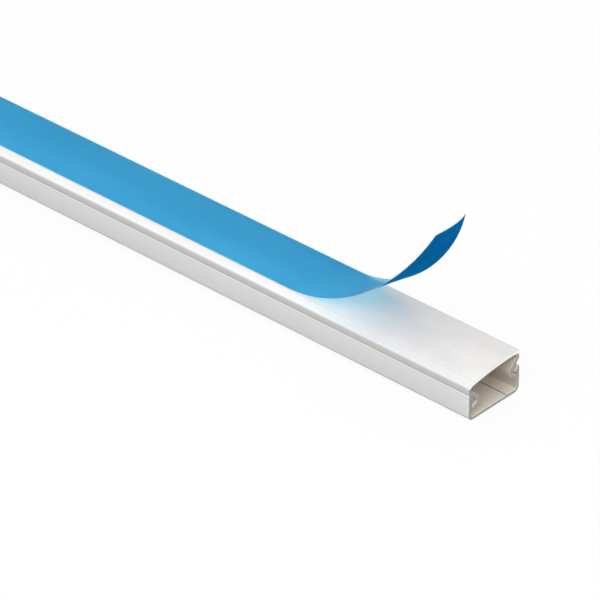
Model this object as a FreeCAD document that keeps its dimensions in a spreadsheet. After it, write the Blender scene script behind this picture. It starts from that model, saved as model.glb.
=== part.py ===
import FreeCAD, Part
import math
import os
import Sketcher

# Frame: X runs along the stick, Y across it, Z up.
# The origin is the middle of the cover's flat face, which lies on the floor.
# The stick lies with its adhesive back up, and its liner is peeled at the +X end.

doc = FreeCAD.newDocument("CordCover")
sheet = doc.addObject("Spreadsheet::Sheet", "Sizes")

# Every driving size, in millimetres and degrees.
rows = [
    ("stick_length", "400", "one stick, cut square at both ends"),
    ("stick_width", "24", "over the plate's edges"),
    ("stick_height", "13.5", "floor face to the top of the crown when snapped shut"),
    ("plate_crown", "0.75", "rise of the plate's middle over its edges"),
    ("plate_thick", "1", "base plate"),
    ("leg_inset", "0.3", "leg's outer face in from the plate's edge"),
    ("leg_thick", "1.2", "leg under the plate's edge"),
    ("leg_drop", "2.85", "plate's edge down to the leg's outer corner"),
    ("knee_rise", "0.65", "leg's outer corner up to the bend of its inner face"),
    ("elbow_clear", "0.45", "lip's nose to the outer elbow of the snap arm"),
    ("elbow_width", "0.55", "outer elbow across to the inner elbow"),
    ("elbow_height", "1.35", "outer elbow up to the inner elbow"),
    ("groove_depth", "1.05", "outer elbow across to the bottom of the snap groove"),
    ("groove_drop", "2", "outer elbow down to the bottom of the snap groove"),
    ("bulge_width", "1.4", "bottom of the groove across to the arm's inner bulge"),
    ("bulge_rise", "1.3", "bottom of the groove up to the bulge's upper corner"),
    ("bulge_drop", "0.7", "bottom of the groove down to the bulge's lower corner"),
    ("bulge_inset", "0.25", "bulge's lower corner back from its upper corner"),
    ("barb_clear", "0.6", "barb's nose to the cover's wall when snapped shut"),
    ("barb_drop", "1.1", "bottom of the groove down to the barb's nose"),
    ("barb_nose", "0.4", "flat nose of the barb"),
    ("barb_lead_width", "0.9", "barb's slanting lead, across"),
    ("barb_lead_drop", "0.55", "barb's slanting lead, down"),
    ("barb_foot_width", "0.8", "barb's foot, across"),
    ("barb_foot_rise", "0.35", "barb's foot, up"),
    ("cover_inset", "0.3", "cover's walls in from the plate's edges"),
    ("wall_thick", "0.9", "cover wall"),
    ("floor_thick", "1", "cover floor"),
    ("seam_gap", "0.5", "leg's outer corner to the top of the cover's wall"),
    ("lip_land", "0.35", "flat top of the cover's wall"),
    ("lip_reach", "2.1", "wall's outer face to the lip's nose"),
    ("lip_drop", "1.6", "wall's top down to the lip's upper corner"),
    ("lip_nose", "0.45", "flat nose of the lip"),
    ("lip_under_drop", "0.4", "fall of the lip's underside toward the wall"),
    ("far_lift", "2.2", "how far the base stands up at its unsnapped edge"),
    ("outer_round", "2", "cover's outside corners"),
    ("inner_round", "1", "cover's inside corners"),
    ("line_offset", "6.1", "middle line to the die line on the floor"),
    ("line_width", "0.4", "die line"),
    ("line_depth", "0.25", "die line"),
    ("bare_strip", "3.25", "plate's near edge to the adhesive strip"),
    ("tape_thick", "0.2", "adhesive strip"),
    ("tape_setback", "0.4", "strip's far edge in from the plate's edge"),
    ("seat_gap", "0.1", "bond line under the strip, and under the liner"),
    ("liner_margin", "0.05", "liner's long edges in from the strip's edges"),
    ("liner_thick", "0.15", "release liner"),
    ("liner_setback", "2", "liner's peeled end short of the stick's end"),
    ("peel_length", "68.6", "peeled end, along the liner's middle line"),
    ("slant_ratio", "-0.643", "slant of the bend lines at the peel"),
    ("slant_ratio_rise", "1.076", "how the slant grows along the peeled end"),
    ("slant_ratio_curve", "0.737", "how the slant's growth itself grows"),
    ("turn_angle", "110.4", "bending rate at the peel, degrees per peeled end"),
    ("turn_angle_rise", "-143.8", "how the bending rate changes along the end"),
    ("turn_angle_curve", "90.6", "how that change itself changes"),
    ("cut_ratio", "0.18", "how far the liner's cut end runs back, per width across"),
]
for number, (name, text, note) in enumerate(rows, start=1):
    sheet.set("A%d" % number, name)
    sheet.set("B%d" % number, text)
    sheet.set("C%d" % number, note)
    sheet.setAlias("B%d" % number, name)
doc.recompute()


class Size:
    """A length that keeps its value together with its expression on the sheet."""

    def __init__(self, value, words):
        self.value = float(value)
        self.words = words

    def __add__(self, other):
        other = as_size(other)
        return Size(self.value + other.value, "(%s + %s)" % (self.words, other.words))

    def __sub__(self, other):
        other = as_size(other)
        return Size(self.value - other.value, "(%s - %s)" % (self.words, other.words))

    def __mul__(self, other):
        other = as_size(other)
        return Size(self.value * other.value, "(%s * %s)" % (self.words, other.words))

    def __truediv__(self, other):
        other = as_size(other)
        return Size(self.value / other.value, "(%s / %s)" % (self.words, other.words))

    def __neg__(self):
        return as_size(0) - self

    def root(self):
        return Size(math.sqrt(self.value), "sqrt(%s)" % self.words)


def as_size(number):
    if isinstance(number, Size):
        return number
    return Size(number, "%g" % number)


def cell(name):
    return Size(sheet.get(name), "Sizes." + name)


stick_length = cell("stick_length")
half_width = cell("stick_width") / 2
stick_height = cell("stick_height")
plate_thick = cell("plate_thick")
edge_level = stick_height - cell("plate_crown")

# The crown is one arc through the top of the middle and both plate edges.
crown = cell("plate_crown")
crown_radius = (half_width * half_width + crown * crown) / (crown * 2)


def crown_level(across):
    """Height of the plate's back at a distance across from the middle line."""
    return stick_height - crown_radius + (crown_radius * crown_radius - across * across).root()


def plane_of(body, role):
    for feature in body.Origin.OriginFeatures:
        if feature.Role == role:
            return feature
    raise ValueError("no origin plane " + role)


def draw_section(body, name, corners, arcs=()):
    """Draw a closed section across the stick.

    corners is a list of (across, up) pairs of sizes.
    arcs names the corners after which the side is a crown arc instead of a line.
    """
    sketch = body.newObject("Sketcher::SketchObject", name)
    sketch.AttachmentSupport = [(plane_of(body, "YZ_Plane"), "")]
    sketch.MapMode = "FlatFace"
    count = len(corners)
    points = [FreeCAD.Vector(across.value, up.value, 0) for across, up in corners]
    sides = []
    for index in range(count):
        start = points[index]
        end = points[(index + 1) % count]
        if index in arcs:
            drop = math.sqrt(crown_radius.value ** 2 - start.x ** 2)
            centre = FreeCAD.Vector(0, start.y - drop, 0)
            circle = Part.Circle(centre, FreeCAD.Vector(0, 0, 1), crown_radius.value)
            first = math.atan2(start.y - centre.y, start.x)
            last = math.atan2(end.y - centre.y, end.x)
            low = min(first, last)
            high = max(first, last)
            sketch.addGeometry(Part.ArcOfCircle(circle, low, high), False)
            start_side, end_side = (1, 2) if first < last else (2, 1)
        else:
            sketch.addGeometry(Part.LineSegment(start, end), False)
            start_side, end_side = 1, 2
        sides.append((start_side, end_side))
    for index in range(count):
        after = (index + 1) % count
        join = Sketcher.Constraint("Coincident", index, sides[index][1], after, sides[after][0])
        sketch.addConstraint(join)
    for index, (across, up) in enumerate(corners):
        side = sides[index][0]
        for kind, place, letter in (("DistanceX", across, "across"), ("DistanceY", up, "up")):
            rule = Sketcher.Constraint(kind, -1, 1, index, side, place.value)
            number = sketch.addConstraint(rule)
            label = "%s_%d" % (letter, index)
            sketch.renameConstraint(number, label)
            sketch.setExpression("Constraints." + label, place.words)
    for index in arcs:
        sketch.addConstraint(Sketcher.Constraint("PointOnObject", index, 3, -2))
    return sketch


def extrude_section(body, sketch, name):
    pad = body.newObject("PartDesign::Pad", name)
    pad.Profile = sketch
    pad.SideType = "Symmetric"
    pad.setExpression("Length", stick_length.words)
    return pad


def mirror_across(body, feature, name):
    """Mirror a half section about the stick's upright middle plane."""
    mirrored = body.newObject("PartDesign::Mirrored", name)
    mirrored.Originals = [feature]
    mirrored.MirrorPlane = (plane_of(body, "XZ_Plane"), [""])
    body.Tip = mirrored
    return mirrored


def long_edges(shape, across, up):
    """Names of the edges that run the whole stick through a point of the section."""
    names = []
    for number, edge in enumerate(shape.Edges, start=1):
        box = edge.BoundBox
        if box.XLength < stick_length.value * 0.99:
            continue
        if abs(abs(box.YMin) - across.value) > 0.01 or abs(box.ZMin - up.value) > 0.01:
            continue
        if box.YLength < 0.01 and box.ZLength < 0.01:
            names.append("Edge%d" % number)
    return names


def round_edges(body, base, name, edges, radius):
    fillet = body.newObject("PartDesign::Fillet", name)
    fillet.Base = (base, edges)
    fillet.setExpression("Radius", radius.words)
    body.Tip = fillet
    return fillet


# Section lines shared by the base and the cover, as they lie when snapped shut.
cover_half = half_width - cell("cover_inset")
wall_face = cover_half - cell("wall_thick")
leg_outside = half_width - cell("leg_inset")
leg_inside = leg_outside - cell("leg_thick")
leg_foot = edge_level - cell("leg_drop")
wall_top = leg_foot - cell("seam_gap")
lip_tip = cover_half - cell("lip_reach")
lip_top = wall_top - cell("lip_drop")
lip_under = lip_top - cell("lip_nose")
lip_root = lip_under - cell("lip_under_drop")
lip_rate = cell("lip_drop") / (cell("lip_reach") - cell("lip_land"))

# Base: a crowned plate on two snap arms. Each arm goes down from the plate's edge,
# in along the cover's lip to an elbow, in again to the bottom of a groove,
# and back out to a barb that holds the lip in that groove.
base = doc.addObject("PartDesign::Body", "base_channel")
base.Label = "base_channel"
elbow = lip_tip - cell("elbow_clear")
elbow_level = leg_foot - (leg_outside - elbow) * lip_rate
groove = elbow - cell("groove_depth")
groove_level = elbow_level - cell("groove_drop")
bulge = groove - cell("bulge_width")
barb = wall_face - cell("barb_clear")
barb_level = groove_level - cell("barb_drop")
barb_under = barb_level - cell("barb_nose")
lead = barb - cell("barb_lead_width")
lead_level = barb_under - cell("barb_lead_drop")
foot = lead - cell("barb_foot_width")
foot_level = lead_level + cell("barb_foot_rise")
zero = as_size(0)
base_corners = [
    (zero, stick_height),
    (half_width, edge_level),
    (half_width, edge_level - plate_thick),
    (leg_outside, edge_level - plate_thick),
    (leg_outside, leg_foot),
    (elbow, elbow_level),
    (groove, groove_level),
    (barb, barb_level),
    (barb, barb_under),
    (lead, lead_level),
    (foot, foot_level),
    (bulge + cell("bulge_inset"), groove_level - cell("bulge_drop")),
    (bulge, groove_level + cell("bulge_rise")),
    (elbow - cell("elbow_width"), elbow_level + cell("elbow_height")),
    (leg_inside, leg_foot + cell("knee_rise")),
    (leg_inside, crown_level(leg_inside) - plate_thick),
    (zero, stick_height - plate_thick),
]
base_sketch = draw_section(base, "base_half_section", base_corners, arcs=(0, 15))
base_pad = extrude_section(base, base_sketch, "base_half")
mirror_across(base, base_pad, "base_whole")

# The near barb is pressed home and the far one hangs on its lip, as the snap's
# play allows, so the base and what it carries stand turned about the near wall.
lean_reach = cover_half - cell("lip_land")
lean_span = (half_width + lean_reach).value
lean_angle = math.degrees(math.asin(cell("far_lift").value / lean_span))
lean_line = FreeCAD.Vector(0, -lean_reach.value, wall_top.value)
lean = FreeCAD.Rotation(FreeCAD.Vector(1, 0, 0), lean_angle)
standing = FreeCAD.Placement(FreeCAD.Vector(0, 0, 0), lean, lean_line)
base.Placement = standing

# Cover: floor, two walls and two lips turned in under the base's edges.
cover = doc.addObject("PartDesign::Body", "snap_cover")
cover.Label = "snap_cover"
floor_thick = cell("floor_thick")
cover_corners = [
    (zero, zero),
    (cover_half, zero),
    (cover_half, wall_top),
    (cover_half - cell("lip_land"), wall_top),
    (lip_tip, lip_top),
    (lip_tip, lip_under),
    (wall_face, lip_root),
    (wall_face, floor_thick),
    (zero, floor_thick),
]
cover_sketch = draw_section(cover, "cover_half_section", cover_corners)
cover_pad = extrude_section(cover, cover_sketch, "cover_half")
cover_whole = mirror_across(cover, cover_pad, "cover_whole")
doc.recompute()
outside = long_edges(cover_whole.Shape, cover_half, zero)
outer = round_edges(cover, cover_whole, "outer_corners", outside, cell("outer_round"))
doc.recompute()
inside = long_edges(outer.Shape, wall_face, floor_thick)
inner = round_edges(cover, outer, "inner_corners", inside, cell("inner_round"))
doc.recompute()

# One shallow die line runs along the cover's floor.
line_near = cell("line_offset") - cell("line_width") / 2
line_far = cell("line_offset") + cell("line_width") / 2
line_corners = [
    (line_near, floor_thick),
    (cell("line_offset"), floor_thick - cell("line_depth")),
    (line_far, floor_thick),
]
line_sketch = draw_section(cover, "die_line_section", line_corners)
line_cut = cover.newObject("PartDesign::Pocket", "die_line")
line_cut.Profile = line_sketch
line_cut.SideType = "Symmetric"
line_cut.setExpression("Length", (stick_length + 2).words)
cover.Tip = line_cut

# Adhesive strip: an even skin on the plate's back that runs along its far edge.
tape = doc.addObject("PartDesign::Body", "adhesive_tape")
tape.Label = "adhesive_tape"
tape_thick = cell("tape_thick")
tape_far = half_width - cell("tape_setback")
tape_near = cell("bare_strip") - half_width
tape_near_foot = crown_level(tape_near) + cell("seat_gap")
tape_far_foot = crown_level(tape_far) + cell("seat_gap")
tape_corners = [
    (tape_near, tape_near_foot),
    (tape_far, tape_far_foot),
    (tape_far, tape_far_foot + tape_thick),
    (tape_near, tape_near_foot + tape_thick),
]
tape_sketch = draw_section(tape, "tape_section", tape_corners, arcs=(0, 2))
extrude_section(tape, tape_sketch, "tape_strip")
tape.Placement = standing

# Release liner: a film that lies on the strip and curls up at the +X end.
# The film never stretches: it bends along straight lines that slant across it,
# so a frame walks along its middle line and turns about the bend line it is on.
liner_far = tape_far.value - cell("liner_margin").value
liner_near = tape_near.value + cell("liner_margin").value
liner_middle = (liner_far + liner_near) / 2
liner_thick = cell("liner_thick").value
liner_end = stick_length.value / 2 - cell("liner_setback").value
peel_length = cell("peel_length").value
peel_start = liner_end - peel_length
walk_steps = 400
walk_reach = peel_length + (liner_far - liner_near) * 0.7


def slant_at(walked):
    part = walked / peel_length
    growth = cell("slant_ratio_rise").value * part + cell("slant_ratio_curve").value * part ** 2
    return cell("slant_ratio").value + growth


def bend_at(walked):
    """Curvature of the film's middle line, in radians per millimetre."""
    part = walked / peel_length
    growth = cell("turn_angle_rise").value * part + cell("turn_angle_curve").value * part ** 2
    return math.radians(cell("turn_angle").value + growth) / peel_length


def film_level(across):
    """Height of the film's underside where it lies flat on the adhesive strip."""
    fall = crown_radius.value - math.sqrt(crown_radius.value ** 2 - across ** 2)
    return stick_height.value - fall + tape_thick.value + 2 * cell("seat_gap").value


def walk_middle_line():
    """Frames along the film's middle line: place, heading, side and face."""
    step = walk_reach / walk_steps
    place = FreeCAD.Vector(peel_start, liner_middle, film_level(liner_middle))
    heading = FreeCAD.Vector(1, 0, 0)
    side = FreeCAD.Vector(0, -1, 0)
    face = FreeCAD.Vector(0, 0, 1)
    frames = []
    for index in range(walk_steps + 1):
        frames.append((place, heading, side, face))
        middle = (index + 0.5) * step
        bend = bend_at(middle)
        axis = side * bend + heading * (bend * slant_at(middle))
        bent = FreeCAD.Rotation(axis, math.degrees(axis.Length * step))
        after = bent.multVec(heading)
        place = place + (heading + after) * (step / 2)
        heading = after
        side = bent.multVec(side)
        face = bent.multVec(face)
    return frames


frames = walk_middle_line()


def frame_at(walked):
    place = walked / walk_reach * walk_steps
    index = min(int(place), walk_steps - 1)
    part = place - index
    first = frames[index]
    second = frames[index + 1]
    return [first[n] + (second[n] - first[n]) * part for n in range(4)]


def peel_line(across):
    """Distance along the stick at which the film leaves the strip."""
    return peel_start - slant_at(0) * (across - liner_middle)


def cut_line(across):
    """Distance along the stick at which the film is cut off, a little out of square."""
    return liner_end - cell("cut_ratio").value * (across - liner_near)


def film_point(along, across):
    """A point of the film's underside and the film's face there, past the peel."""
    offset = liner_middle - across
    walked = along - peel_start
    for _ in range(40):
        walked = along - peel_start - offset * slant_at(max(walked, 0))
    walked = max(walked, 0)
    place, heading, side, face = frame_at(walked)
    point = place + (side + heading * slant_at(walked)) * offset
    left = (liner_end - along) / (liner_end - peel_line(across))
    sag = (film_level(across) - film_level(liner_middle)) * left ** 2
    return point + FreeCAD.Vector(0, 0, sag), face


def film_surface(grid):
    surface = Part.BSplineSurface()
    surface.interpolate(grid)
    return surface


def lying_curve(curve):
    """The same curve pushed straight back along the stick to its far end."""
    poles = [FreeCAD.Vector(-stick_length.value / 2, pole.y, pole.z) for pole in curve.getPoles()]
    pushed = Part.BSplineCurve()
    pushed.buildFromPolesMultsKnots(
        poles, curve.getMultiplicities(), curve.getKnots(), False, curve.Degree)
    return pushed


# The film's two faces past the peel, from the slanted peel line to the cut end.
across_count = 9
along_count = 16
up = FreeCAD.Vector(0, 0, 1)
under_grid = []
upper_grid = []
for row in range(along_count + 1):
    under_row = []
    upper_row = []
    for column in range(across_count):
        across = liner_near + (liner_far - liner_near) * column / (across_count - 1)
        start = peel_line(across)
        along = start + (cut_line(across) - start) * row / along_count
        if row == 0:
            point = FreeCAD.Vector(along, across, film_level(across))
            face = up
        else:
            point, face = film_point(along, across)
        under_row.append(point)
        upper_row.append(point + face * liner_thick)
    under_grid.append(under_row)
    upper_grid.append(upper_row)
under = film_surface(under_grid)
upper = film_surface(upper_grid)

# Edges of the peeled end, then of the stretch that lies flat on the strip.
u_first, u_last, v_first, v_last = under.bounds()
w_first, w_last, q_first, q_last = upper.bounds()
peel_under = under.uIso(u_first)
peel_upper = upper.uIso(w_first)
back_under = lying_curve(peel_under)
back_upper = lying_curve(peel_upper)


def edge_between(start, end):
    return Part.makeLine(start.value(start.FirstParameter), end.value(end.FirstParameter))


def far_edge_between(start, end):
    return Part.makeLine(start.value(start.LastParameter), end.value(end.LastParameter))


faces = [under.toShape(), upper.toShape()]
faces.append(Part.makeRuledSurface(under.vIso(v_first).toShape(), upper.vIso(q_first).toShape()))
faces.append(Part.makeRuledSurface(under.vIso(v_last).toShape(), upper.vIso(q_last).toShape()))
faces.append(Part.makeRuledSurface(under.uIso(u_last).toShape(), upper.uIso(w_last).toShape()))
faces.append(Part.makeRuledSurface(back_under.toShape(), peel_under.toShape()))
faces.append(Part.makeRuledSurface(back_upper.toShape(), peel_upper.toShape()))
faces.append(Part.makeRuledSurface(back_under.toShape(), back_upper.toShape()))
faces.append(Part.makeRuledSurface(
    edge_between(back_under, peel_under), edge_between(back_upper, peel_upper)))
faces.append(Part.makeRuledSurface(
    far_edge_between(back_under, peel_under), far_edge_between(back_upper, peel_upper)))
shell = Part.Shell(faces)
shell.sewShape()
film = Part.Solid(shell)
if film.Volume < 0:
    film.reverse()
liner = doc.addObject("Part::Feature", "release_liner")
liner.Label = "release_liner"
liner.Shape = film
liner.Placement = standing
doc.recompute()

pieces = [base, cover, tape, liner]
for thing in doc.Objects:
    if "Invalid" in thing.State or "Error" in thing.State:
        raise RuntimeError("%s did not build: %s" % (thing.Name, thing.State))
for piece in pieces:
    if piece.Shape.isNull() or not piece.Shape.isValid():
        raise RuntimeError("%s has no valid shape" % piece.Label)
    if len(piece.Shape.Solids) != 1:
        raise RuntimeError("%s is not one solid" % piece.Label)

os.makedirs("parts", exist_ok=True)
for piece in pieces:
    piece.Shape.exportStep("parts/%s.step" % piece.Label)
    box = piece.Shape.BoundBox
    print("%-14s volume %8.1f  x %.2f..%.2f  y %.2f..%.2f  z %.2f..%.2f" % (
        piece.Label, piece.Shape.Volume, box.XMin, box.XMax, box.YMin, box.YMax,
        box.ZMin, box.ZMax))
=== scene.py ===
# %% [markdown]
# # A snap-on cord cover, lying on its face
#
# The object is a straight stick of white plastic raceway. It is two extrusions:
# a deep cover that lies on the floor, and a base that snaps into it. The base
# carries a strip of adhesive on its back, and the blue film that protects the
# adhesive has been peeled from one cut end and curls up.
#
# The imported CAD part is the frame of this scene: everything below is built in
# its coordinates, in metres. X runs along the stick, Y across it and Z up.

# %% Load the frame and keep its box
import math

import bmesh
import bpy
from mathutils import Matrix, Vector


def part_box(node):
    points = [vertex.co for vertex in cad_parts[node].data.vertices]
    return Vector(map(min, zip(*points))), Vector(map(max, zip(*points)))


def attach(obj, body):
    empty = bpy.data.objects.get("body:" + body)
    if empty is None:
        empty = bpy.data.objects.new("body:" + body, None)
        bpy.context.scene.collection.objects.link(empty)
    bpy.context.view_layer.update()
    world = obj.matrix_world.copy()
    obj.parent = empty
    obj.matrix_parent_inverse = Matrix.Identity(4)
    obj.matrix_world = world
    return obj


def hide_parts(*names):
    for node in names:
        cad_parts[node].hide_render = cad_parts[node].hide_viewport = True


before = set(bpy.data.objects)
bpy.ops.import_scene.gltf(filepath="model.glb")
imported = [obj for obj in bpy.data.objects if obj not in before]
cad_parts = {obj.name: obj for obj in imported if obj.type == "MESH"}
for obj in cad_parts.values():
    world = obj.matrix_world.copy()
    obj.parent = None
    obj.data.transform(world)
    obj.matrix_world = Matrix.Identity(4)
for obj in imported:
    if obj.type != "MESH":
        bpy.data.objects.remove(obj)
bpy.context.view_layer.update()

# %% [markdown]
# ## The section's sizes
#
# An extrusion is drawn once, as a section, and pushed along its length. So the
# section is where the work is. What the frame already says, such as the cover's
# width and the stick's length, is read from it. The rest are the section's own
# sizes, each named for the place where a ruler would be held.

# %% Sizes
mm = 0.001

cover_low, cover_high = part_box("snap_cover")
END_X = cover_high[0]
STICK_LENGTH = cover_high[0] - cover_low[0]
COVER_HALF = cover_high[1]
WALL_TOP = cover_high[2]

HALF_WIDTH = 12 * mm
STICK_HEIGHT = 13.5 * mm
PLATE_CROWN = 0.75 * mm
PLATE_THICK = 1.0 * mm
LEG_INSET = 0.3 * mm
LEG_THICK = 1.2 * mm
LEG_DROP = 2.85 * mm
KNEE_RISE = 0.65 * mm
ELBOW_CLEAR = 0.45 * mm
ELBOW_WIDTH = 0.55 * mm
ELBOW_HEIGHT = 1.35 * mm
GROOVE_DEPTH = 1.05 * mm
GROOVE_DROP = 2.0 * mm
BULGE_WIDTH = 1.4 * mm
BULGE_RISE = 1.3 * mm
BULGE_DROP = 0.7 * mm
BULGE_INSET = 0.25 * mm
BARB_CLEAR = 0.6 * mm
BARB_DROP = 1.1 * mm
BARB_NOSE = 0.4 * mm
LEAD_WIDTH = 0.9 * mm
LEAD_DROP = 0.55 * mm
FOOT_WIDTH = 0.8 * mm
FOOT_RISE = 0.35 * mm
WALL_THICK = 0.9 * mm
FLOOR_THICK = 1.0 * mm
LIP_LAND = 0.35 * mm
LIP_REACH = 2.1 * mm
LIP_DROP = 1.6 * mm
LIP_NOSE = 0.45 * mm
LIP_UNDER_DROP = 0.4 * mm
FAR_LIFT = 2.2 * mm
OUTER_ROUND = 2.0 * mm
INNER_ROUND = 1.0 * mm
LINE_OFFSET = 6.1 * mm
LINE_WIDTH = 0.4 * mm
LINE_DEPTH = 0.25 * mm

EDGE_LEVEL = STICK_HEIGHT - PLATE_CROWN
CROWN_RADIUS = (HALF_WIDTH**2 + PLATE_CROWN**2) / (2 * PLATE_CROWN)


def crown_level(across):
    """Height of the plate's back, before the base leans."""
    return STICK_HEIGHT - CROWN_RADIUS + math.sqrt(CROWN_RADIUS**2 - across**2)


print("the stick is", round(STICK_LENGTH / mm), "mm long, and its crown has a radius of",
      round(CROWN_RADIUS / mm, 1), "mm")

# %% [markdown]
# ## Drawing a section and pushing it along the stick
#
# A section could be traced as one long list of points. It reads better as a
# chain of corners, each with the radius that the die gives it. A vertex bevel
# turns such a corner into an arc, a mirror makes the other half, and one
# extrusion makes the stick. Sharp die corners keep a very small radius too,
# because no real edge is perfectly sharp and a small round catches the light.

# %% Helpers for sections
ARC_STEPS = 5
CROWN_CUTS = 24
SHARP = 0.0
SAME_PLACE = 0.001 * mm


def draw_chain(bm, corners):
    """Vertices and wire edges through (across, up, radius) corners at the stick's back end."""
    verts = [bm.verts.new((-END_X, across, up)) for across, up, _ in corners]
    for first, second in zip(verts, verts[1:]):
        bm.edges.new((first, second))
    return verts


def round_corners(bm, verts, corners):
    """Turn each corner that has a radius into an arc, by a vertex bevel."""
    for vert, (_, _, radius) in zip(verts, corners):
        if radius == SHARP:
            continue
        before, after = [edge.other_vert(vert).co - vert.co for edge in vert.link_edges]
        reach = radius / math.tan(before.angle(after) / 2)
        bmesh.ops.bevel(
            bm, geom=[vert], offset=reach, offset_type="OFFSET", segments=ARC_STEPS,
            profile=0.5, affect="VERTICES", material=-1, clamp_overlap=True)


def bend_to_crown(bm, drop):
    """Find the long straight edge whose ends lie under the crown by drop, and bend it."""
    long_edge, close_by = 0.8 * HALF_WIDTH, 0.05 * mm
    chords = [
        edge for edge in bm.edges
        if edge.calc_length() > long_edge
        and all(abs(crown_level(v.co.y) - drop - v.co.z) < close_by for v in edge.verts)]
    made = bmesh.ops.bisect_edges(bm, edges=chords, cuts=CROWN_CUTS)
    for item in made["geom_split"]:
        if isinstance(item, bmesh.types.BMVert):
            item.co.z = crown_level(item.co.y) - drop
    print("bent", len(chords), "edge to the crown, at", round(-drop / mm, 2), "mm from it")


def close_section(bm, fold=True):
    """Mirror the half section, if it is a half, and fill the closed ring."""
    if fold:
        bmesh.ops.mirror(
            bm, geom=bm.verts[:] + bm.edges[:], matrix=Matrix.Identity(4),
            merge_dist=SAME_PLACE, axis="Y")
    bmesh.ops.edgeloop_fill(bm, edges=bm.edges[:])


def push_along(bm):
    """Extrude the filled section to the other end of the stick."""
    made = bmesh.ops.extrude_face_region(bm, geom=bm.faces[:])
    moved = [item for item in made["geom"] if isinstance(item, bmesh.types.BMVert)]
    bmesh.ops.translate(bm, verts=moved, vec=(STICK_LENGTH, 0, 0))


# %% [markdown]
# ## From a section to a finished piece
#
# A pushed section has broad flat walls and narrow faces round its corners. All
# are shaded smooth, and a sharp line is kept where two of them meet at a larger
# angle than the faces of an arc do. So the arcs look round and the walls flat.
# The edges that are left, such as those of the saw cut, are broken by a small
# bevel, which stays a modifier so that the mesh itself is easy to read.

# %% Helpers for finished pieces
EDGE_ROUND = 0.05 * mm
SHARP_ABOVE = math.radians(24)
BROKEN_ABOVE = math.radians(40)


def mesh_object(bm, name):
    """Turn the bmesh into an object of the scene, at the origin."""
    mesh = bpy.data.meshes.new(name)
    bm.to_mesh(mesh)
    bm.free()
    piece = bpy.data.objects.new(name, mesh)
    bpy.context.scene.collection.objects.link(piece)
    return piece


def finish_piece(bm, name):
    """Make an object with smooth arcs and faintly broken edges."""
    bmesh.ops.recalc_face_normals(bm, faces=bm.faces[:])
    open_edges = sum(1 for edge in bm.edges if not edge.is_manifold)
    piece = mesh_object(bm, name)
    piece.data.shade_smooth()
    piece.data.set_sharp_from_angle(angle=SHARP_ABOVE)
    broken = piece.modifiers.new("broken_edges", "BEVEL")
    broken.width = EDGE_ROUND
    broken.segments = 2
    broken.limit_method = "ANGLE"
    broken.angle_limit = BROKEN_ABOVE
    broken.harden_normals = True
    print(name, "has", len(piece.data.polygons), "faces and", open_edges, "open edges")
    return piece


# %% [markdown]
# ## The cover
#
# The cover is a deep U with two lips turned in at its top. On a wall it is the
# side that everybody sees, so its outside corners are generously round. Seen
# from its cut end, the lips are wedges: sloped on top, so that the base can be
# pushed past them, and nearly flat underneath, so that it can't fall out. A
# shallow line left by the die runs along the floor inside.

# %% The cover's section
wall_face = COVER_HALF - WALL_THICK
lip_tip = COVER_HALF - LIP_REACH
lip_top = WALL_TOP - LIP_DROP
lip_under = lip_top - LIP_NOSE

cover_half_section = [
    (0, 0, SHARP),
    (COVER_HALF, 0, OUTER_ROUND),
    (COVER_HALF, WALL_TOP, 0.25 * mm),
    (COVER_HALF - LIP_LAND, WALL_TOP, 0.08 * mm),
    (lip_tip, lip_top, 0.15 * mm),
    (lip_tip, lip_under, 0.15 * mm),
    (wall_face, lip_under - LIP_UNDER_DROP, 0.15 * mm),
    (wall_face, FLOOR_THICK, INNER_ROUND),
    (LINE_OFFSET + LINE_WIDTH / 2, FLOOR_THICK, SHARP),
    (LINE_OFFSET, FLOOR_THICK, SHARP),
    (LINE_OFFSET - LINE_WIDTH / 2, FLOOR_THICK, SHARP),
    (0, FLOOR_THICK, SHARP),
]

bm = bmesh.new()
chain = draw_chain(bm, cover_half_section)
round_corners(bm, chain, cover_half_section)
close_section(bm)
push_along(bm)
for vert in bm.verts:
    on_line = abs(vert.co.y - LINE_OFFSET) < SAME_PLACE
    if on_line and vert.co.z > FLOOR_THICK / 2:
        vert.co.z -= LINE_DEPTH
cover = finish_piece(bm, "cover_extrusion")
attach(cover, "root")
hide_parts("snap_cover")

# %% [markdown]
# ## The base
#
# The base is a plate, slightly crowned on its back, with a bent snap arm under
# each edge. An arm goes down from the plate, in along the cover's lip, and back
# out to a barb that sits under the lip. The arms are the thinnest part of the
# extrusion and come out of the die with soft bends, so they get larger radii
# than the plate.
#
# In the photograph the base isn't pushed fully home: its near edge sits low in
# the cover and its far edge stands a little high. So the base is drawn upright,
# as it would be when snapped shut, and turned by a few degrees about the top of
# the near wall once it is extruded. The strip and the film are turned with it.

# %% The base's section
leg_outside = HALF_WIDTH - LEG_INSET
leg_inside = leg_outside - LEG_THICK
leg_foot = EDGE_LEVEL - LEG_DROP
lip_rate = LIP_DROP / (LIP_REACH - LIP_LAND)
elbow = lip_tip - ELBOW_CLEAR
elbow_level = leg_foot - (leg_outside - elbow) * lip_rate
groove = elbow - GROOVE_DEPTH
groove_level = elbow_level - GROOVE_DROP
bulge = groove - BULGE_WIDTH
barb = wall_face - BARB_CLEAR
barb_level = groove_level - BARB_DROP
barb_under = barb_level - BARB_NOSE
lead = barb - LEAD_WIDTH
lead_level = barb_under - LEAD_DROP
foot = lead - FOOT_WIDTH

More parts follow.
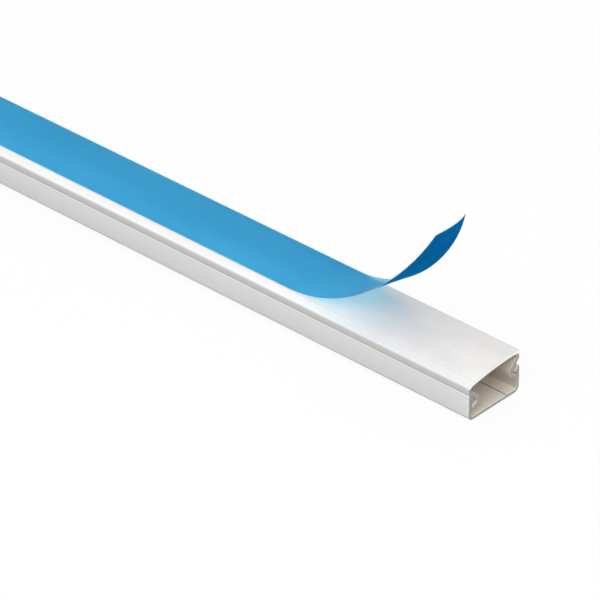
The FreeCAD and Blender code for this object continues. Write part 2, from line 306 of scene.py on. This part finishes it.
base_half_section = [
    (0, STICK_HEIGHT, SHARP),
    (HALF_WIDTH, EDGE_LEVEL, 0.2 * mm),
    (HALF_WIDTH, EDGE_LEVEL - PLATE_THICK, 0.15 * mm),
    (leg_outside, EDGE_LEVEL - PLATE_THICK, 0.1 * mm),
    (leg_outside, leg_foot, 0.15 * mm),
    (elbow, elbow_level, 0.8 * mm),
    (groove, groove_level, 0.3 * mm),
    (barb, barb_level, 0.15 * mm),
    (barb, barb_under, 0.15 * mm),
    (lead, lead_level, 0.3 * mm),
    (foot, lead_level + FOOT_RISE, 0.5 * mm),
    (bulge + BULGE_INSET, groove_level - BULGE_DROP, 1.2 * mm),
    (bulge, groove_level + BULGE_RISE, 1.2 * mm),
    (elbow - ELBOW_WIDTH, elbow_level + ELBOW_HEIGHT, 1.0 * mm),
    (leg_inside, leg_foot + KNEE_RISE, 0.5 * mm),
    (leg_inside, crown_level(leg_inside) - PLATE_THICK, 0.3 * mm),
    (0, STICK_HEIGHT - PLATE_THICK, SHARP),
]

lean_reach = COVER_HALF - LIP_LAND
lean_angle = math.asin(FAR_LIFT / (HALF_WIDTH + lean_reach))
lean_point = Vector((0, -lean_reach, WALL_TOP))
lean = Matrix.Rotation(lean_angle, 3, "X")


def lean_over(bm):
    """Turn what the base carries as the base itself stands in the cover."""
    bmesh.ops.rotate(bm, verts=bm.verts[:], cent=lean_point, matrix=lean)


bm = bmesh.new()
chain = draw_chain(bm, base_half_section)
round_corners(bm, chain, base_half_section)
bend_to_crown(bm, drop=0)
bend_to_crown(bm, drop=PLATE_THICK)
close_section(bm)
push_along(bm)
lean_over(bm)
base = finish_piece(bm, "base_extrusion")
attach(base, "root")
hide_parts("base_channel")
print("the base leans", round(math.degrees(lean_angle), 2), "degrees")

# %% [markdown]
# ## The adhesive strip
#
# The strip is a thin even layer on the plate's back. It reaches nearly to the
# plate's far edge and leaves a bare strip of plastic along the near edge. It
# follows the crown, so its section is a crown arc with a thickness. The seat
# under it is the thin bond line that the frame keeps between the two solids.

# %% The strip's section
BARE_STRIP = 3.25 * mm
TAPE_THICK = 0.2 * mm
TAPE_SETBACK = 0.4 * mm
SEAT_GAP = 0.1 * mm

tape_near = BARE_STRIP - HALF_WIDTH
tape_far = HALF_WIDTH - TAPE_SETBACK
TAPE_TOP = SEAT_GAP + TAPE_THICK

tape_section = [
    (tape_near, crown_level(tape_near) + SEAT_GAP, SHARP),
    (tape_far, crown_level(tape_far) + SEAT_GAP, SHARP),
    (tape_far, crown_level(tape_far) + TAPE_TOP, SHARP),
    (tape_near, crown_level(tape_near) + TAPE_TOP, SHARP),
]

bm = bmesh.new()
chain = draw_chain(bm, tape_section)
bm.edges.new((chain[-1], chain[0]))
bend_to_crown(bm, drop=-SEAT_GAP)
bend_to_crown(bm, drop=-TAPE_TOP)
close_section(bm, fold=False)
push_along(bm)
lean_over(bm)
tape = finish_piece(bm, "adhesive_strip")
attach(tape, "root")
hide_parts("adhesive_tape")

# %% [markdown]
# ## The release film
#
# The film is a thin plastic strip that can bend but never stretch. It lies on
# the adhesive for most of the stick. Past the peel it lifts off and curls up
# and over to the far side, because it was pulled at a slant. Its cut end isn't
# quite square to its long edges.
#
# A sheet that bends without stretching always has straight lines on it, and it
# turns about the line it is on. So a frame walks along the film's middle line.
# At each step it turns about that slanted line, by the bending rate there, and
# every point of the film is found from the line it lies on. The flat grid that
# this starts from is the film as it was cut, so its area stays what it was.

# %% The film's sizes and its walk
LINER_MARGIN = 0.05 * mm
LINER_THICK = 0.15 * mm
LINER_SETBACK = 2 * mm
PEEL_LENGTH = 68.6 * mm
SLANT = (-0.643, 1.076, 0.737)
TURN = (110.4, -143.8, 90.6)
CUT_RATIO = 0.18
WALK_STEPS = 400
WALK_BEYOND = 0.7

liner_near = tape_near + LINER_MARGIN
liner_far = tape_far - LINER_MARGIN
liner_width = liner_far - liner_near
liner_middle = (liner_far + liner_near) / 2
liner_end = END_X - LINER_SETBACK
liner_length = liner_end + END_X
peel_start = liner_end - PEEL_LENGTH
walk_reach = PEEL_LENGTH + WALK_BEYOND * liner_width


def along_peel(rates, walked):
    """A rate that starts at rates[0] and changes along the peeled end."""
    part = walked / PEEL_LENGTH
    return rates[0] + rates[1] * part + rates[2] * part**2


def film_level(across):
    """Height of the film's underside where it lies on the adhesive."""
    return crown_level(across) + TAPE_TOP + SEAT_GAP


def walk_middle_line():
    """Place, heading and side of the film's middle at each step past the peel."""
    step = walk_reach / WALK_STEPS
    place = Vector((peel_start, liner_middle, film_level(liner_middle)))
    heading, side = Vector((1, 0, 0)), Vector((0, -1, 0))
    walk = []
    for index in range(WALK_STEPS + 1):
        walk.append((place, heading, side))
        middle = (index + 0.5) * step
        bend = math.radians(along_peel(TURN, middle)) / PEEL_LENGTH
        axis = side * bend + heading * (bend * along_peel(SLANT, middle))
        turn = Matrix.Rotation(axis.length * step, 3, axis)
        after = turn @ heading
        place = place + (heading + after) * (step / 2)
        heading, side = after, turn @ side
    return walk


walk = walk_middle_line()
print("the film's middle line ends at", tuple(round(c / mm, 1) for c in walk[-1][0]), "mm")

# %% [markdown]
# ## From the flat film to the peeled one
#
# Every point of the flat film lies on one of the slanted straight lines. Where
# that line crosses the middle line depends on the slant there, and the slant on
# where it crosses. So the answer is put in again, round after round, until it
# stays the same. The lines near the film's end cross beyond it, so the walk goes
# on past the end. The grid is sheared a little towards the end, which makes the
# slanted cut.

# %% Every point of the film from its place on the flat cut
SOLVING_ROUNDS = 40


def film_point(along, across):
    """Where a point of the flat film is once the end is peeled, before the base leans."""
    offset = liner_middle - across
    peel_line = peel_start + SLANT[0] * offset
    if along <= peel_line:
        return Vector((along, across, film_level(across)))
    walked = along - peel_start
    for _ in range(SOLVING_ROUNDS):
        walked = along - peel_start - offset * along_peel(SLANT, max(walked, 0))
    walked = max(walked, 0)
    step = walked / walk_reach * WALK_STEPS
    index = min(int(step), WALK_STEPS - 1)
    place, heading, side = (
        first.lerp(second, step - index) for first, second in zip(walk[index], walk[index + 1]))
    point = place + (side + heading * along_peel(SLANT, walked)) * offset
    left = (liner_end - along) / (liner_end - peel_line)
    point.z += (film_level(across) - film_level(liner_middle)) * left**2
    return point


FILM_CELL = 1 * mm
flat_start = peel_start - 10 * mm

bm = bmesh.new()
bmesh.ops.create_grid(
    bm, x_segments=round(liner_length / FILM_CELL), y_segments=round(liner_width / FILM_CELL),
    size=0.5)
bmesh.ops.scale(bm, verts=bm.verts[:], vec=(liner_length, liner_width, 1))
bmesh.ops.translate(
    bm, verts=bm.verts[:], vec=((liner_end - END_X) / 2, liner_middle, 0))
for vert in bm.verts:
    kept = min(1, (liner_end - vert.co.x) / (liner_end - flat_start))
    cut_back = CUT_RATIO * (vert.co.y - liner_near) * (1 - kept)
    vert.co = film_point(vert.co.x - cut_back, vert.co.y)
lean_over(bm)
film = mesh_object(bm, "release_film")
film.data.shade_smooth()
body = film.modifiers.new("film_thickness", "SOLIDIFY")
body.thickness = LINER_THICK
body.offset = 1
body.material_offset = 1
body.material_offset_rim = 2
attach(film, "root")
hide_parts("release_liner")
print("release_film has", len(film.data.polygons), "faces, and its end stands",
      round(max(vert.co.z for vert in film.data.vertices) / mm, 1), "mm above the floor")

# %% [markdown]
# ## Node materials, shared steps
#
# Every finish here is procedural. Patterns are placed by Object coordinates, so
# they stay on the piece when the camera moves. One helper makes a material with
# one Principled shader, and another makes noise that is drawn out along the
# stick, as everything that comes out of a die is. Such noise seldom leaves the
# range from 0.3 to 0.7, so tones and roughness are spread over that range.

# %% Helpers for materials
NOISE_LOW = 0.3
NOISE_HIGH = 0.7


def linear(red, green, blue):
    """A colour as it is read off a screen, from 0 to 255, as the shader wants it."""
    shares = [channel / 255 for channel in (red, green, blue)]
    curve = [c / 12.92 if c <= 0.04045 else ((c + 0.055) / 1.055) ** 2.4 for c in shares]
    return (*curve, 1)


def new_material(name):
    """A new material, its node tree and its shader."""
    material = bpy.data.materials.new(name)
    material.use_nodes = True
    tree = material.node_tree
    return material, tree, tree.nodes["Principled BSDF"]


def stretched_noise(tree, scale, detail=3.0):
    """Noise on Object coordinates, with its own scale along, across and up."""
    nodes, links = tree.nodes, tree.links
    place = nodes.new("ShaderNodeTexCoord")
    mapping = nodes.new("ShaderNodeMapping")
    mapping.inputs["Scale"].default_value = scale
    noise = nodes.new("ShaderNodeTexNoise")
    noise.inputs["Scale"].default_value = 1
    noise.inputs["Detail"].default_value = detail
    links.new(place.outputs["Object"], mapping.inputs["Vector"])
    links.new(mapping.outputs["Vector"], noise.inputs["Vector"])
    return noise.outputs["Fac"]


def tone_between(tree, noise, first, second):
    """A colour that wanders from first to second as the noise does."""
    ramp = tree.nodes.new("ShaderNodeValToRGB")
    ramp.color_ramp.elements[0].position = NOISE_LOW
    ramp.color_ramp.elements[0].color = first
    ramp.color_ramp.elements[1].position = NOISE_HIGH
    ramp.color_ramp.elements[1].color = second
    tree.links.new(noise, ramp.inputs["Fac"])
    return ramp.outputs["Color"]


def spread(tree, noise, low, high):
    """A value that wanders from low to high as the noise does."""
    span = tree.nodes.new("ShaderNodeMapRange")
    span.inputs["From Min"].default_value = NOISE_LOW
    span.inputs["From Max"].default_value = NOISE_HIGH
    span.inputs["To Min"].default_value = low
    span.inputs["To Max"].default_value = high
    tree.links.new(noise, span.inputs["Value"])
    return span.outputs["Result"]


def add_relief(tree, height, distance, strength, under=None):
    """A bump node, laid over the relief that is already there."""
    bump = tree.nodes.new("ShaderNodeBump")
    bump.inputs["Distance"].default_value = distance
    bump.inputs["Strength"].default_value = strength
    tree.links.new(height, bump.inputs["Height"])
    if under is not None:
        tree.links.new(under, bump.inputs["Normal"])
    return bump.outputs["Normal"]


# %% [markdown]
# ## Shares that mix
#
# One piece often has several tones, each in its own place. A share is a value
# from nought to one that says where: it comes from a place or a direction, with
# a short rise so that no tone ends in a jagged line, and a Mix node uses it.

# %% Helpers for shares


def step_up(tree, value, low, high):
    """Nought at low, one at high, and a straight rise between them."""
    step = tree.nodes.new("ShaderNodeMapRange")
    step.inputs["From Min"].default_value = low
    step.inputs["From Max"].default_value = high
    tree.links.new(value, step.inputs["Value"])
    return step.outputs["Result"]


def work_out(tree, operation, first, second):
    """One sum on values, where each is a node's output or a plain number."""
    node = tree.nodes.new("ShaderNodeMath")
    node.operation = operation
    for socket, value in zip(node.inputs, (first, second)):
        if isinstance(value, (int, float)):
            socket.default_value = value
        else:
            tree.links.new(value, socket)
    return node.outputs["Value"]


def mix_colours(tree, share, first, second):
    """Go from the first colour to the second, by a share that a node gives."""
    mix = tree.nodes.new("ShaderNodeMix")
    mix.data_type = "RGBA"
    tree.links.new(share, mix.inputs["Factor"])
    for socket, colour in ((mix.inputs["A"], first), (mix.inputs["B"], second)):
        if isinstance(colour, tuple):
            socket.default_value = colour
        else:
            tree.links.new(colour, socket)
    return mix.outputs["Result"]


def mix_shaders(tree, share, first, second, output):
    """Lead the first shader and the second to an output node, mixed by a share."""
    mix = tree.nodes.new("ShaderNodeMixShader")
    tree.links.new(share, mix.inputs["Fac"])
    tree.links.new(first, mix.inputs[1])
    tree.links.new(second, mix.inputs[2])
    tree.links.new(mix.outputs["Shader"], output.inputs["Surface"])


def object_axes(tree):
    """Object coordinates, each axis on its own."""
    place = tree.nodes.new("ShaderNodeTexCoord")
    axes = tree.nodes.new("ShaderNodeSeparateXYZ")
    tree.links.new(place.outputs["Object"], axes.inputs["Vector"])
    return axes.outputs


def facing_share(tree, axis, low, high):
    """One where the surface looks along an axis, either way, and nought where it doesn't."""
    place = tree.nodes.new("ShaderNodeTexCoord")
    facing = tree.nodes.new("ShaderNodeSeparateXYZ")
    tree.links.new(place.outputs["Normal"], facing.inputs["Vector"])
    return step_up(tree, work_out(tree, "ABSOLUTE", facing.outputs[axis], 0), low, high)


# %% [markdown]
# ## Where the plastic changes its tone
#
# Inside, the plastic is painted warmer and darker: painted shade, and painted
# warm light thrown off the walls round it. A face is inside where it looks
# towards the section's middle line, so its direction is compared with its place.
# The die line on the floor is painted darker still, as shade in its groove. The
# cut ends are found by the surface's own direction, which there is along X. The
# arms' cut ends are painted dark as shade, and the plate's own cut ends keep the
# plastic's white. The plate is told from the arms by its height before the base
# leaned over.

# %% The plastic's shares
MIDDLE_LEVEL = 6.5 * mm


def inside_share(tree):
    """One where the plastic faces the section's middle, which is its inside."""
    place = tree.nodes.new("ShaderNodeTexCoord")
    from_middle = tree.nodes.new("ShaderNodeVectorMath")
    from_middle.operation = "SUBTRACT"
    from_middle.inputs[1].default_value = (0, 0, MIDDLE_LEVEL)
    tree.links.new(place.outputs["Object"], from_middle.inputs[0])
    across = tree.nodes.new("ShaderNodeVectorMath")
    across.operation = "MULTIPLY"
    across.inputs[1].default_value = (0, 1, 1)
    tree.links.new(from_middle.outputs["Vector"], across.inputs[0])
    facing = tree.nodes.new("ShaderNodeVectorMath")
    facing.operation = "DOT_PRODUCT"
    tree.links.new(across.outputs["Vector"], facing.inputs[0])
    tree.links.new(place.outputs["Normal"], facing.inputs[1])
    return step_up(tree, work_out(tree, "MULTIPLY", facing.outputs["Value"], -1), 0, 1 * mm)


# The die line's darker tone is painted shade in its groove.
def die_line_shade_share(tree):
    """One down in the die line on the cover's floor, and not on the face below it."""
    axes = object_axes(tree)
    aside = work_out(tree, "ABSOLUTE", work_out(tree, "SUBTRACT", axes["Y"], LINE_OFFSET), 0)
    narrow = step_up(tree, aside, 0.5 * LINE_WIDTH, 0.4 * LINE_WIDTH)
    below_floor = step_up(tree, axes["Z"], FLOOR_THICK, FLOOR_THICK - 0.1 * LINE_DEPTH)
    above_foot = step_up(
        tree, axes["Z"], FLOOR_THICK - 1.2 * LINE_DEPTH, FLOOR_THICK - 1.1 * LINE_DEPTH)
    in_depth = work_out(tree, "MULTIPLY", below_floor, above_foot)
    return work_out(tree, "MULTIPLY", narrow, in_depth)


def cut_share(tree):
    """One on the cut ends."""
    return facing_share(tree, "X", 0.8, 0.95)


def plate_share(tree):
    """One on the base's plate and nought on its arms."""
    place = tree.nodes.new("ShaderNodeTexCoord")
    upright = tree.nodes.new("ShaderNodeVectorRotate")
    upright.rotation_type = "X_AXIS"
    upright.inputs["Center"].default_value = lean_point
    upright.inputs["Angle"].default_value = -lean_angle
    tree.links.new(place.outputs["Object"], upright.inputs["Vector"])
    axes = tree.nodes.new("ShaderNodeSeparateXYZ")
    tree.links.new(upright.outputs["Vector"], axes.inputs["Vector"])
    under = EDGE_LEVEL - PLATE_THICK
    return step_up(tree, axes.outputs["Z"], under - 0.2 * mm, under)


def plate_end_share(tree):
    """One on the plate's own cut ends."""
    return work_out(tree, "MULTIPLY", plate_share(tree), cut_share(tree))


print("the plastic is inside where it faces the line", round(MIDDLE_LEVEL / mm, 1), "mm up")

# %% [markdown]
# ## White extruded plastic
#
# Rigid white plastic straight from the die is satin: smooth enough for a soft
# shine, with faint lines that the die drew along it and a very fine unevenness
# between them. Light goes a little way into it, which softens its thin walls.
# The cut ends are different. A saw left them duller, with short upright marks.
# Their tones are painted dark as shade, also because a low lamp shines straight
# at them. Inside, the walls are painted a little darker than the floor, as
# shade. Outside, the base's arms are painted a little darker than its plate, as
# the shade under its edge.

# %% The plastic
OUTSIDE_TONES = (linear(244, 244, 243), linear(250, 250, 249))
# The inside tones are painted shade and painted warm light off the walls.
INSIDE_FLOOR_SHADE_TONE = linear(243, 234, 222)
INSIDE_WALL_SHADE_TONE = linear(206, 197, 184)
# The cut ends' tones are painted dark, as shade.
SAW_MARK_SHADE_TONE = linear(168, 167, 165)
SAWN_ROUGHNESS = 0.62


def plastic_material(name, cut_shade_tone, marked_share, marked_tone, depth, arm_shade_tone=None):
    """Satin white plastic, warmer inside, and sawn at its ends.

    cut_shade_tone is the sawn ends' colour, painted dark as shade. marked_tone
    takes the place of all others where marked_share, a function, gives one: in the
    die line, where it is painted shade, or on the plate's ends, where it is the
    plastic's white. depth is how much of the light goes into the plastic before it
    comes back. arm_shade_tone is the outside's colour off the plate, painted darker
    as shade, on the piece that has one.
    """
    material, tree, shader = new_material(name)
    die_lines = stretched_noise(tree, (3, 2600, 2600))
    grain = stretched_noise(tree, (900, 1400, 1400), detail=2.0)
    tint = stretched_noise(tree, (14, 90, 90))
    saw_marks = stretched_noise(tree, (200, 2400, 500), detail=2.0)
    cut = cut_share(tree)

    outside = tone_between(tree, tint, *OUTSIDE_TONES)
    if arm_shade_tone:
        outside = mix_colours(tree, plate_share(tree), arm_shade_tone, outside)
    wall = facing_share(tree, "Y", 0.3, 0.9)
    inside = mix_colours(tree, wall, INSIDE_FLOOR_SHADE_TONE, INSIDE_WALL_SHADE_TONE)
    colour = mix_colours(tree, inside_share(tree), outside, inside)
    sawn = tone_between(tree, saw_marks, cut_shade_tone, SAW_MARK_SHADE_TONE)
    colour = mix_colours(tree, cut, colour, sawn)
    colour = mix_colours(tree, marked_share(tree), colour, marked_tone)
    tree.links.new(colour, shader.inputs["Base Color"])
    shader.inputs["Subsurface Weight"].default_value = depth
    shader.inputs["Subsurface Radius"].default_value = (1.0, 0.98, 0.95)
    shader.inputs["Subsurface Scale"].default_value = 1.2 * mm

    relief = add_relief(tree, die_lines, distance=0.02 * mm, strength=0.25)
    relief = add_relief(tree, grain, distance=0.01 * mm, strength=0.2, under=relief)
    marks = work_out(tree, "MULTIPLY", saw_marks, cut)
    relief = add_relief(tree, marks, distance=0.05 * mm, strength=0.5, under=relief)
    tree.links.new(relief, shader.inputs["Normal"])

    gloss = tree.nodes.new("ShaderNodeMix")
    gloss.data_type = "FLOAT"
    tree.links.new(cut, gloss.inputs["Factor"])
    tree.links.new(spread(tree, die_lines, 0.3, 0.42), gloss.inputs["A"])
    gloss.inputs["B"].default_value = SAWN_ROUGHNESS
    tree.links.new(gloss.outputs["Result"], shader.inputs["Roughness"])
    print(name, "has", len(tree.nodes), "nodes")
    return material


# The cover's cut ends and its die line are painted dark, as shade.
cover.data.materials.append(plastic_material(
    "white_plastic_cover", linear(143, 142, 140), die_line_shade_share, linear(134, 120, 102), depth=0.6))
# The base's arms are painted darker outside, and their cut ends dark, as shade. The plate's cut
# ends keep the plastic's white.
base.data.materials.append(plastic_material(
    "white_plastic_base", linear(140, 139, 137), plate_end_share, linear(252, 252, 251),
    depth=0.2, arm_shade_tone=linear(232, 232, 231)))

# %% [markdown]
# ## The adhesive
#
# Once the film is off, the strip is an off-white foam with a wet-looking glue
# layer on it. The glue has a smooth clear coat over a slightly mottled body, and
# faint ripples where the film was pulled away. Its tone is painted darker towards
# the far edge and lighter towards the near edge, as painted shade and painted
# light, so the tone goes across the strip as well.

# %% The adhesive
glue, tree, shader = new_material("pale_adhesive")
mottle = stretched_noise(tree, (120, 260, 260), detail=4.0)
ripples = stretched_noise(tree, (240, 60, 60), detail=2.0)
# The glue's tone is painted lighter towards the near edge and darker towards the far edge, as
# painted light and painted shade.
across = step_up(tree, object_axes(tree)["Y"], tape_near, tape_far)
near_painted_light_tone = tone_between(tree, mottle, linear(246, 243, 239), linear(251, 248, 244))
far_painted_shade_tone = tone_between(tree, mottle, linear(227, 223, 220), linear(233, 229, 226))
tree.links.new(mix_colours(tree, across, near_painted_light_tone, far_painted_shade_tone), shader.inputs["Base Color"])
relief = add_relief(tree, ripples, distance=0.04 * mm, strength=0.25)
relief = add_relief(tree, mottle, distance=0.03 * mm, strength=0.3, under=relief)
tree.links.new(relief, shader.inputs["Normal"])
tree.links.new(spread(tree, mottle, 0.3, 0.42), shader.inputs["Roughness"])
shader.inputs["Coat Weight"].default_value = 0.4
shader.inputs["Coat Roughness"].default_value = 0.12
tape.data.materials.append(glue)
print(glue.name, "has", len(tree.nodes), "nodes")

# %% [markdown]
# ## The blue film
#
# The film is coloured through and lets light pass. On the strip and just above
# it, it is clear blue: the white behind it makes it look pale, and the light
# that passes it lays a pale blue glow on the strip under the curl. Its index of
# refraction is near 1, so that it doesn't mirror the bright room where it is
# seen at a slant. Clear all the way up it would nearly vanish against a white
# background. So it goes over to solid tones as it rises, and there its
# underside is painted deeper than its top, as shade. The cut edge is painted
# pale, as a painted highlight.
#
# Fine lines from the rolls run along the film, with long shallow waves that make
# its shine wander. Solidify gives the underside the second material and the rim
# the third. Each has its name, a pale and a deep tone for the part that has
# curled up, its roughness and shine, and the depth of its roll lines.

# %% The film's faces and its edge
CLEAR_TONES = (linear(136, 209, 239), linear(130, 203, 234))
CLEAR_IOR = 1.02
CURL_LOW = 19 * mm
CURL_HIGH = 28 * mm
FILM_FACES = (
    ("blue_film_top", (linear(46, 122, 170), linear(40, 115, 162)), 0.35, 0.02, 0.01 * mm),
    # The underside's tones are painted deeper than the top's, as shade.
    ("blue_film_underside", (linear(8, 100, 161), linear(4, 93, 152)), 0.4, 0, 0.002 * mm),
    # The edge's pale tones are a painted highlight.
    ("blue_film_edge", (linear(190, 206, 236), linear(182, 198, 228)), 0.5, 0, 0.002 * mm),
)


def film_material(name, curled, roughness, shine, line_depth):
    """Blue film, clear up to CURL_LOW and of curled's two tones from CURL_HIGH."""
    material, tree, shader = new_material(name)
    shader.inputs["Specular IOR Level"].default_value = shine
    shader.inputs["Subsurface Weight"].default_value = 0.7
    shader.inputs["Subsurface Radius"].default_value = (0.1, 0.5, 1.0)
    shader.inputs["Subsurface Scale"].default_value = 0.5 * mm
    haze = stretched_noise(tree, (18, 110, 110), detail=3.0)
    waves = stretched_noise(tree, (30, 45, 45), detail=1.0)
    roll_lines = stretched_noise(tree, (4, 3000, 3000), detail=2.0)
    near_strip, in_air = [
        tone_between(tree, haze, deep, pale) for pale, deep in (CLEAR_TONES, curled)]
    clear = step_up(tree, object_axes(tree)["Z"], CURL_HIGH, CURL_LOW)
    tree.links.new(mix_colours(tree, clear, in_air, near_strip), shader.inputs["Base Color"])
    tree.links.new(clear, shader.inputs["Transmission Weight"])
    shader.inputs["IOR"].default_value = CLEAR_IOR
    relief = add_relief(tree, waves, distance=0.2 * mm, strength=0.25)
    relief = add_relief(tree, roll_lines, distance=line_depth, strength=0.2, under=relief)
    tree.links.new(relief, shader.inputs["Normal"])
    tree.links.new(
        spread(tree, roll_lines, roughness, roughness + 0.08), shader.inputs["Roughness"])
    print(name, "has", len(tree.nodes), "nodes")
    return material


for face in FILM_FACES:
    film.data.materials.append(film_material(*face))

# %% [markdown]
# ## The floor
#
# The photograph shows the stick on plain white. A pale floor that is lit like
# the object would be grey in it. So the camera sees the floor mostly as plain
# white and only a little as it is lit, which keeps the object's soft shadow. The
# floor's mirror image in the object is white as well. For all other light it is
# a mid grey, so that it doesn't throw much up at the stick's sides.

# %% Floor
FLOOR_WHITE = 0.88
FLOOR_HALF = 6

bm = bmesh.new()
bmesh.ops.create_grid(bm, x_segments=1, y_segments=1, size=FLOOR_HALF)
floor = mesh_object(bm, "floor")

paper, tree, shader = new_material("floor_paper")
shader.inputs["Roughness"].default_value = 0.9
shader.inputs["Specular IOR Level"].default_value = 0
seen = tree.nodes.new("ShaderNodeLightPath").outputs
tree.links.new(
    mix_colours(tree, seen["Is Camera Ray"], linear(120, 120, 120), linear(250, 250, 250)),
    shader.inputs["Base Color"])
white = tree.nodes.new("ShaderNodeEmission")
white.inputs["Strength"].default_value = 1
direct = work_out(tree, "MAXIMUM", seen["Is Camera Ray"], seen["Is Glossy Ray"])
mix_shaders(
    tree, work_out(tree, "MULTIPLY", direct, FLOOR_WHITE),
    shader.outputs["BSDF"], white.outputs["Emission"], tree.nodes["Material Output"])
floor.data.materials.append(paper)
print("the floor is", 2 * FLOOR_HALF, "m wide")

# %% [markdown]
# ## The light
#
# The light is an even bright room and one large soft lamp, above the near side
# and a little towards the peeled end. So the top is bright, and the long side is
# a shade darker. A smaller lamp stands low beyond the peeled end. It makes the
# plate's cut edge white, and lights the film's underside and the stick's inside.
# The camera, looking past the stick or through the clear film, sees plain white
# instead of the room.
#
# Each lamp has a name, a place, a size and a level: how bright the lamp alone
# would make a white face that looks straight at it.

# %% Room and lamps
ROOM_LEVEL = 0.8
LAMPS = (
    ("softbox", Vector((0.60, -1.06, 0.95)), 0.9, 0.35),
    ("end_light", Vector((1.70, 0, 0.16)), 0.3, 0.33),
)

world = bpy.data.worlds.new("studio")
bpy.context.scene.world = world
world.use_nodes = True
tree = world.node_tree
room = tree.nodes["Background"]
backdrop = tree.nodes.new("ShaderNodeBackground")
for background, strength in ((room, ROOM_LEVEL), (backdrop, 1)):
    background.inputs["Color"].default_value = (1, 1, 1, 1)
    background.inputs["Strength"].default_value = strength
seen = tree.nodes.new("ShaderNodeLightPath").outputs
mix_shaders(
    tree, work_out(tree, "MAXIMUM", seen["Is Camera Ray"], seen["Is Transmission Ray"]),
    room.outputs["Background"], backdrop.outputs["Background"], tree.nodes["World Output"])

target = Vector((END_X / 2, 0, 0))
for name, lamp_place, size, level in LAMPS:
    lamp_data = bpy.data.lights.new(name, "AREA")
    lamp_data.shape = "SQUARE"
    lamp_data.size = size
    reach = (lamp_place - target).length
    lamp_data.energy = level * math.pi**2 * reach**2
    lamp = bpy.data.objects.new(name, lamp_data)
    lamp.location = lamp_place
    lamp.rotation_euler = (target - lamp_place).to_track_quat("-Z", "Y").to_euler()
    bpy.context.scene.collection.objects.link(lamp)
    print(name, "is", round(reach, 2), "m away and gives", round(lamp_data.energy, 1), "W")

# %% [markdown]
# ## The camera
#
# The photograph was taken with a long lens from beyond the peeled end, on the
# near side and above. Its angles and distance were found by fitting the stick's
# long edges and its cut end to the picture. They are set here through one point
# of the part, the middle of the cut end, and the pixel where it is seen.

# %% Camera
AZIMUTH = math.radians(42.99)
ELEVATION = math.radians(32.82)
ROLL = math.radians(-0.36)
DISTANCE = 1.2526
FOCAL_PIXELS = 4145.6
AIM = Vector((END_X, 0, 7 * mm))
AIM_PIXEL = (494.2, 386.9)
IMAGE = 600
SENSOR = 36

back = Vector((
    math.sin(AZIMUTH) * math.cos(ELEVATION),
    -math.cos(AZIMUTH) * math.cos(ELEVATION),
    math.sin(ELEVATION)))
level_right = Vector((math.cos(AZIMUTH), math.sin(AZIMUTH), 0))
level_up = back.cross(level_right)
right = level_right * math.cos(ROLL) + level_up * math.sin(ROLL)
up = level_up * math.cos(ROLL) - level_right * math.sin(ROLL)
pixel = DISTANCE / FOCAL_PIXELS
place = (
    AIM + back * DISTANCE
    - right * (AIM_PIXEL[0] - IMAGE / 2) * pixel
    + up * (AIM_PIXEL[1] - IMAGE / 2) * pixel)

camera_data = bpy.data.cameras.new("camera")
camera_data.sensor_width = SENSOR
camera_data.lens = FOCAL_PIXELS * SENSOR / IMAGE
camera_data.clip_end = 20
camera = bpy.data.objects.new("camera", camera_data)
camera.matrix_world = Matrix((right, up, back)).transposed().to_4x4()
camera.location = place
bpy.context.scene.collection.objects.link(camera)
bpy.context.scene.camera = camera
print("the camera's lens is", round(camera_data.lens), "mm")

# %% [markdown]
# ## Finish
#
# The colours are shown as they are, without a film look.

# %% Finish
bpy.context.scene.view_settings.view_transform = "Standard"
